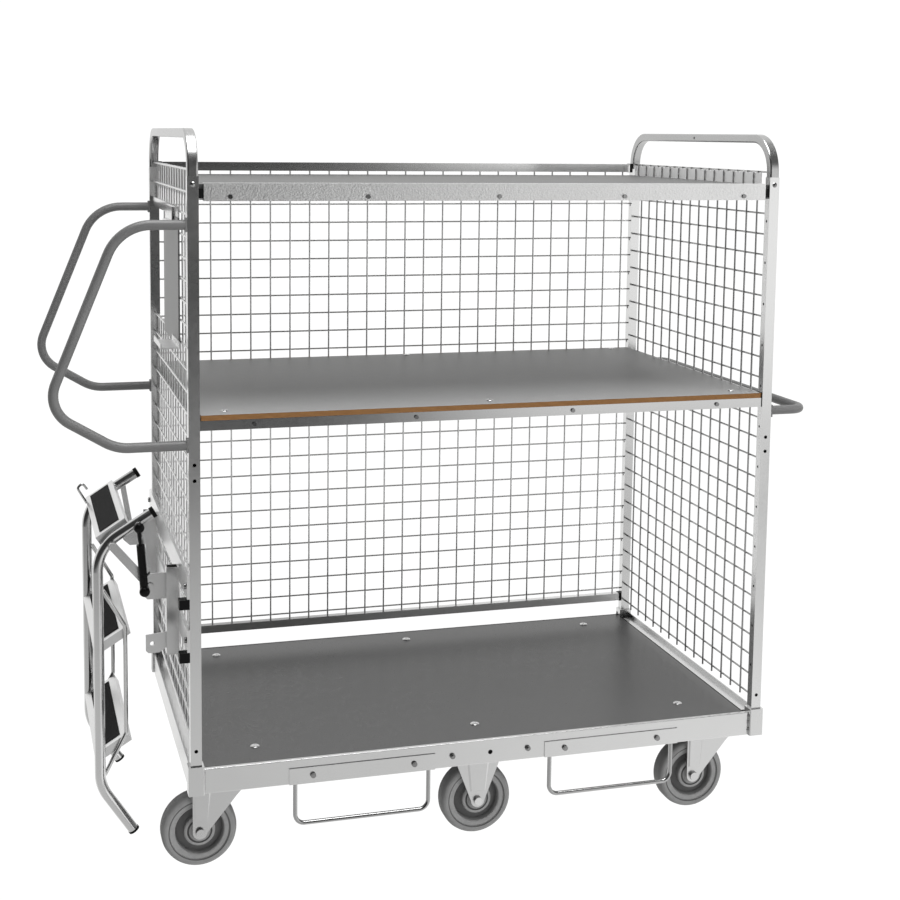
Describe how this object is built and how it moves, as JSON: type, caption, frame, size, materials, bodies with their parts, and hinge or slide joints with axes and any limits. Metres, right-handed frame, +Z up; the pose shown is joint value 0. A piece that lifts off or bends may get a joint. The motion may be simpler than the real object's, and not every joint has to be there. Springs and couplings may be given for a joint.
{
  "type": "order picking trolley",
  "caption": "Mesh-sided steel shelf trolley with swivel and fixed castors, push handles and a fold-out step ladder for order picking.",
  "frame": {"origin": "centre of the whole part's footprint box, on the floor", "axes": "+X along the length towards the end without the ladder, +Y to the closed mesh back, +Z up"},
  "size_m": [1.8125, 0.8412, 1.7035],
  "materials": {
    "galvanised": "satin galvanised",
    "wire": "galvanised wire",
    "textured_galvanised": "stucco textured galvanised",
    "bright_zinc": "bright zinc plated",
    "zinc_pressing": "zinc plated pressing",
    "deck_film": "film faced plywood",
    "shelf_laminate": "film faced plywood",
    "grey_paint": "semi matt powder coat",
    "black_plastic": "matt",
    "black_paint": "satin",
    "step_rubber": "ribbed",
    "rim_plastic": "matt",
    "tyre_rubber": "matt"
  },
  "bodies": {
    "chassis": {"base_sills": "galvanised", "base_cross_members": "galvanised", "corner_sockets": "galvanised", "deck_board": "deck_film", "left_posts": "galvanised", "right_posts": "galvanised", "left_grip_bow": "galvanised", "right_grip_bow": "galvanised", "left_mesh_lower": "wire", "left_mesh_upper": "wire", "left_mesh_side": "wire", "right_end_mesh": "wire", "back_mesh": "wire", "back_rails": "galvanised", "rail_end_plugs": "black_plastic", "mid_shelf_board": "shelf_laminate", "mid_shelf_frame": "galvanised", "top_shelf_board": "shelf_laminate", "top_shelf_frame": "galvanised", "top_shelf_lip": "textured_galvanised", "push_handle_front": "grey_paint", "push_handle_rear": "grey_paint", "right_end_handle": "grey_paint", "writing_board": "galvanised", "board_clip": "galvanised", "ladder_crossbars": "galvanised", "crossbar_saddles": "black_plastic", "ladder_bracket": "galvanised", "latch_plate": "galvanised", "fork_loop_plates": "galvanised", "fork_loops": "bright_zinc", "caster_plates": "zinc_pressing", "fixed_forks": "zinc_pressing", "fixed_axles": "bright_zinc", "bolts_and_screws": "bright_zinc"},
    "swing_arm": {"swing_arms": "galvanised"},
    "ladder": {"ladder_rails": "bright_zinc", "ladder_end_caps": "black_plastic", "ladder_braces": "bright_zinc", "ladder_steps": "galvanised", "ladder_step_pads": "step_rubber"},
    "strut_barrel": {"gas_strut_cylinder": "black_paint"},
    "strut_piston": {"gas_strut_rod": "bright_zinc"},
    "caster_fl": {"swivel_fork_fl": "zinc_pressing"},
    "wheel_fl": {"wheel_rim_fl": "rim_plastic", "tyre_fl": "tyre_rubber"},
    "caster_fr": {"swivel_fork_fr": "zinc_pressing"},
    "wheel_fr": {"wheel_rim_fr": "rim_plastic", "tyre_fr": "tyre_rubber"},
    "caster_rl": {"swivel_fork_rl": "zinc_pressing"},
    "wheel_rl": {"wheel_rim_rl": "rim_plastic", "tyre_rl": "tyre_rubber"},
    "caster_rr": {"swivel_fork_rr": "zinc_pressing"},
    "wheel_rr": {"wheel_rim_rr": "rim_plastic", "tyre_rr": "tyre_rubber"},
    "wheel_fm": {"wheel_rim_fm": "rim_plastic", "tyre_fm": "tyre_rubber"},
    "wheel_rm": {"wheel_rim_rm": "rim_plastic", "tyre_rm": "tyre_rubber"}
  },
  "joints": [
    {"name": "swivel_fl", "type": "hinge", "parent": "chassis", "child": "caster_fl", "pos_m": [-0.52872, -0.29, 0.2015], "axis": [0, 0, 1], "continuous": true},
    {"name": "spin_fl", "type": "hinge", "parent": "caster_fl", "child": "wheel_fl", "pos_m": [-0.57871, -0.29, 0.0875], "axis": [0, 1, 0], "continuous": true},
    {"name": "swivel_fr", "type": "hinge", "parent": "chassis", "child": "caster_fr", "pos_m": [0.71728, -0.29, 0.2015], "axis": [0, 0, 1], "continuous": true},
    {"name": "spin_fr", "type": "hinge", "parent": "caster_fr", "child": "wheel_fr", "pos_m": [0.66729, -0.29, 0.0875], "axis": [0, 1, 0], "continuous": true},
    {"name": "swivel_rl", "type": "hinge", "parent": "chassis", "child": "caster_rl", "pos_m": [-0.52872, 0.29, 0.2015], "axis": [0, 0, 1], "continuous": true},
    {"name": "spin_rl", "type": "hinge", "parent": "caster_rl", "child": "wheel_rl", "pos_m": [-0.47872, 0.29, 0.0875], "axis": [0, 1, 0], "continuous": true},
    {"name": "swivel_rr", "type": "hinge", "parent": "chassis", "child": "caster_rr", "pos_m": [0.71728, 0.29, 0.2015], "axis": [0, 0, 1], "continuous": true},
    {"name": "spin_rr", "type": "hinge", "parent": "caster_rr", "child": "wheel_rr", "pos_m": [0.66729, 0.29, 0.0875], "axis": [0, 1, 0], "continuous": true},
    {"name": "spin_fm", "type": "hinge", "parent": "chassis", "child": "wheel_fm", "pos_m": [0.09428, -0.29, 0.0875], "axis": [0, 1, 0], "continuous": true},
    {"name": "spin_rm", "type": "hinge", "parent": "chassis", "child": "wheel_rm", "pos_m": [0.09428, 0.29, 0.0875], "axis": [0, 1, 0], "continuous": true},
    {"name": "arm_swing", "type": "hinge", "parent": "chassis", "child": "swing_arm", "pos_m": [-0.68071, 0, 0.6535], "axis": [0, -1, 0], "range_deg": [0, 61], "stiffness_Nm_per_rad": 6, "springref_deg": -114.59},
    {"name": "ladder_tilt", "type": "hinge", "parent": "swing_arm", "child": "ladder", "pos_m": [-0.76372, 0, 0.7525], "axis": [0, 1, 0], "range_deg": [0, 93.1]},
    {"name": "strut_pivot", "type": "hinge", "parent": "chassis", "child": "strut_barrel", "pos_m": [-0.69371, -0.251, 0.6475], "axis": [0, -1, 0], "range_deg": [0, 61.6]},
    {"name": "strut_slide", "type": "slide", "parent": "strut_barrel", "child": "strut_piston", "axis": [-0.0731, 0, 0.9973], "range_m": [-0.0148, 0]}
  ],
  "couplings": [
    {"joint": "ladder_tilt", "follows": "arm_swing", "ratio": 1.5246},
    {"joint": "strut_pivot", "follows": "arm_swing", "ratio": 1.008},
    {"joint": "strut_slide", "follows": "arm_swing", "m_per_rad": -0.01375}
  ]
}
